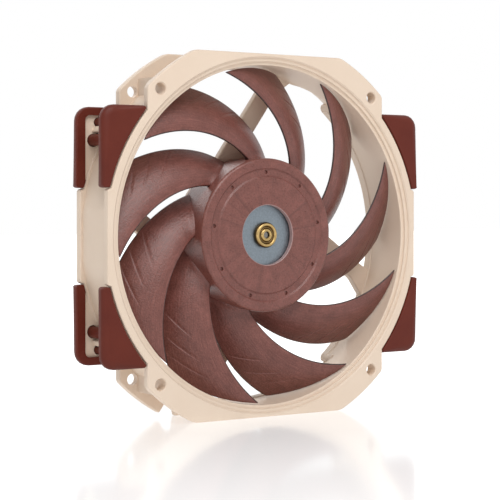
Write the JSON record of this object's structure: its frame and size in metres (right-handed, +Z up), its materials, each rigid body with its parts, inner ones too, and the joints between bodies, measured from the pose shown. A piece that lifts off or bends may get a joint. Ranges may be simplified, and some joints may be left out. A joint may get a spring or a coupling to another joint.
{
  "type": "case fan",
  "caption": "Square-flanged axial case fan with a stepped round duct, soft corner pads, a swept-blade impeller on a hub motor, and struts behind the blades.",
  "frame": {"origin": "centre of the fan: on the impeller's axis, halfway between front and rear faces", "axes": "+Z up, +Y along the airflow from the intake face at -Y to the rear face at +Y, +X to the right seen from the intake side"},
  "size_m": [0.1448, 0.025, 0.14],
  "materials": {
    "frame_plastic": "fine moulded satin",
    "blade_plastic": "fibre-filled, fine grain",
    "pad_silicone": "soft matt",
    "steel": "plated, satin",
    "brass": "turned, bright",
    "ferrite": "sintered",
    "laminate": "stacked sheet",
    "enamelled_wire": "enamelled copper",
    "nylon": "natural",
    "board": "solder resist",
    "chip": "moulded epoxy"
  },
  "bodies": {
    "housing": {"frame": "frame_plastic", "pad_front_upper_left": "pad_silicone", "pad_front_upper_right": "pad_silicone", "pad_front_lower_left": "pad_silicone", "pad_front_lower_right": "pad_silicone", "pad_rear_upper_left": "pad_silicone", "pad_rear_upper_right": "pad_silicone", "pad_rear_lower_left": "pad_silicone", "pad_rear_lower_right": "pad_silicone", "bearing_tube": "brass", "bearing_sleeve": "brass", "oil_seal": "nylon", "axial_magnet": "ferrite", "thrust_pad": "nylon", "stator_core": "laminate", "insulator_upper": "nylon", "insulator_lower": "nylon", "coil_1": "enamelled_wire", "coil_2": "enamelled_wire", "coil_3": "enamelled_wire", "coil_4": "enamelled_wire", "circuit_board": "board", "hall_sensor": "chip", "driver_chip": "chip", "capacitor_1": "nylon", "capacitor_2": "nylon"},
    "rotor": {"impeller": "blade_plastic", "rotor_yoke": "steel", "ring_magnet": "ferrite", "shaft_boss": "brass", "shaft": "steel", "retaining_clip": "nylon"}
  },
  "joints": [
    {"name": "rotor_spin", "type": "hinge", "parent": "housing", "child": "rotor", "pos_m": [0, 0, 0], "axis": [0, -1, 0], "continuous": true}
  ]
}
